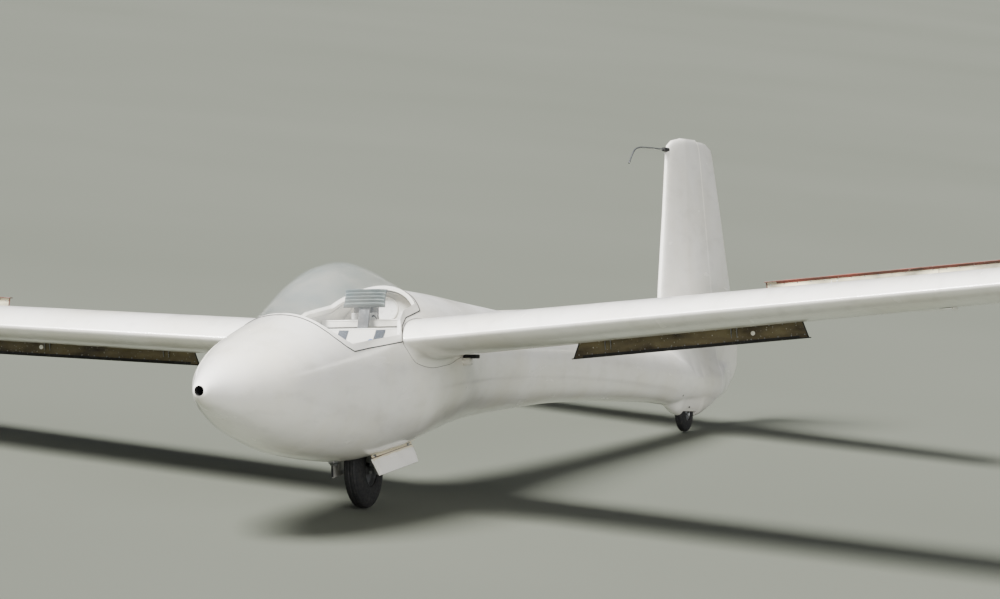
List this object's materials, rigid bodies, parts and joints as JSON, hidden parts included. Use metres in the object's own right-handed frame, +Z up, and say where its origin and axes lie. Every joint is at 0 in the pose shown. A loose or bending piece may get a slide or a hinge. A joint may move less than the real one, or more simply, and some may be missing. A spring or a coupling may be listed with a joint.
{
  "type": "single-seat sailplane glider",
  "caption": "Single-seat glass-fibre sailplane with long slender wings, clear bubble canopy, low-set tailplane, raised airbrakes and a lowered wheel.",
  "frame": {"origin": "centre of the bounding box on the floor, with the glider parked on its main wheel, tail wheel and right wing tip", "axes": "+X to the port wing tip, -Y towards the nose, +Z up"},
  "size_m": [17.5514, 7.215, 2.6703],
  "materials": {
    "gelcoat": "polished white gelcoat",
    "cockpit_lining": "painted laminate",
    "canopy_glass": "clear acrylic",
    "metal": "plated steel",
    "black_plastic": "black",
    "brake_paint": "dark primer",
    "upholstery": "woven",
    "rubber": "matt",
    "tyre": "worn tread"
  },
  "bodies": {
    "airframe": {"fuselage_pod": "gelcoat", "tail_boom": "gelcoat", "nose_inlet_ring": "black_plastic", "canopy_hinge_front": "metal", "canopy_hinge_rear": "metal", "wing_left": "gelcoat", "tip_skid_left": "black_plastic", "wing_right": "gelcoat", "tip_skid_right": "black_plastic", "fin": "gelcoat", "tailplane_left": "gelcoat", "tailplane_right": "gelcoat", "main_wheel_axle": "metal", "tail_wheel_axle": "metal", "main_wheel_fork": "metal", "seat_pan": "cockpit_lining", "seat_cushion": "upholstery", "headrest": "upholstery", "instrument_panel": "black_plastic", "rear_bulkhead": "cockpit_lining", "parcel_shelf": "cockpit_lining", "shelf_box": "black_plastic", "control_stick": "black_plastic", "rudder_pedals": "metal", "total_energy_probe": "metal", "probe_socket": "rubber", "tow_hook": "metal"},
    "canopy": {"canopy_glass": "canopy_glass", "canopy_frame": "gelcoat"},
    "airbrake_lower_left": {"airbrake_lower_left": "brake_paint"},
    "airbrake_upper_left": {"airbrake_upper_left": "brake_paint"},
    "aileron_left": {"aileron_left": "gelcoat"},
    "airbrake_lower_right": {"airbrake_lower_right": "brake_paint"},
    "airbrake_upper_right": {"airbrake_upper_right": "brake_paint"},
    "aileron_right": {"aileron_right": "gelcoat"},
    "rudder": {"rudder": "gelcoat"},
    "elevator": {"elevator": "gelcoat"},
    "main_wheel": {"main_wheel_hub": "metal", "main_wheel_tyre": "tyre"},
    "tail_wheel": {"tail_wheel_hub": "metal", "tail_wheel_tyre": "tyre"},
    "gear_door_left": {"gear_door_left": "gelcoat"},
    "gear_door_right": {"gear_door_right": "gelcoat"}
  },
  "joints": [
    {"name": "canopy_hinge", "type": "hinge", "parent": "airframe", "child": "canopy", "pos_m": [-0.20948, -2.50772, 0.69688], "axis": [0.0197, -0.9953, -0.0946], "range_deg": [0, 80]},
    {"name": "airbrake_lower_left_slide", "type": "slide", "parent": "airframe", "child": "airbrake_lower_left", "axis": [-0.1476, 0.0743, 0.9863], "range_m": [0, 0.078]},
    {"name": "airbrake_upper_left_slide", "type": "slide", "parent": "airframe", "child": "airbrake_upper_left", "axis": [0.1476, -0.0743, -0.9863], "range_m": [0, 0.061]},
    {"name": "aileron_left_hinge", "type": "hinge", "parent": "airframe", "child": "aileron_left", "pos_m": [4.99007, -1.3098, 1.75971], "axis": [0.9724, -0.068, 0.2232], "range_deg": [-22, 22]},
    {"name": "airbrake_lower_right_slide", "type": "slide", "parent": "airframe", "child": "airbrake_lower_right", "axis": [-0.1476, 0.0743, 0.9863], "range_m": [0, 0.078]},
    {"name": "airbrake_upper_right_slide", "type": "slide", "parent": "airframe", "child": "airbrake_upper_right", "axis": [0.1476, -0.0743, -0.9863], "range_m": [0, 0.061]},
    {"name": "aileron_right_hinge", "type": "hinge", "parent": "airframe", "child": "aileron_right", "pos_m": [-4.90029, -1.36499, 0.28402], "axis": [-0.9944, -0.079, -0.0702], "range_deg": [-22, 22]},
    {"name": "rudder_hinge", "type": "hinge", "parent": "airframe", "child": "rudder", "pos_m": [0.15888, 3.21828, 0.08746], "axis": [-0.1458, -0.1227, 0.9817], "range_deg": [-30, 30]},
    {"name": "elevator_hinge", "type": "hinge", "parent": "airframe", "child": "elevator", "pos_m": [0.0849, 2.79312, 0.59916], "axis": [0.989, 0.0055, 0.1476], "range_deg": [-20, 25]},
    {"name": "main_wheel_spin", "type": "hinge", "parent": "airframe", "child": "main_wheel", "pos_m": [0.17308, -1.75527, 0.1783], "axis": [0.989, 0.0055, 0.1476], "continuous": true},
    {"name": "tail_wheel_spin", "type": "hinge", "parent": "airframe", "child": "tail_wheel", "pos_m": [0.1592, 2.71372, 0.10422], "axis": [0.989, 0.0055, 0.1476], "continuous": true},
    {"name": "gear_door_left_hinge", "type": "hinge", "parent": "airframe", "child": "gear_door_left", "pos_m": [0.25409, -1.86724, 0.25622], "axis": [-0.0131, 0.9986, 0.0505], "range_deg": [-33, 35]},
    {"name": "gear_door_right_hinge", "type": "hinge", "parent": "airframe", "child": "gear_door_right", "pos_m": [0.07409, -1.86824, 0.22937], "axis": [0.0131, -0.9986, -0.0505], "range_deg": [-55, 13]}
  ],
  "couplings": [
    {"joint": "aileron_right_hinge", "follows": "aileron_left_hinge", "ratio": 1},
    {"joint": "airbrake_upper_right_slide", "follows": "airbrake_upper_left_slide", "ratio": 1},
    {"joint": "airbrake_lower_left_slide", "follows": "airbrake_upper_left_slide", "ratio": 1.2787},
    {"joint": "airbrake_lower_right_slide", "follows": "airbrake_upper_left_slide", "ratio": 1.2787}
  ]
}
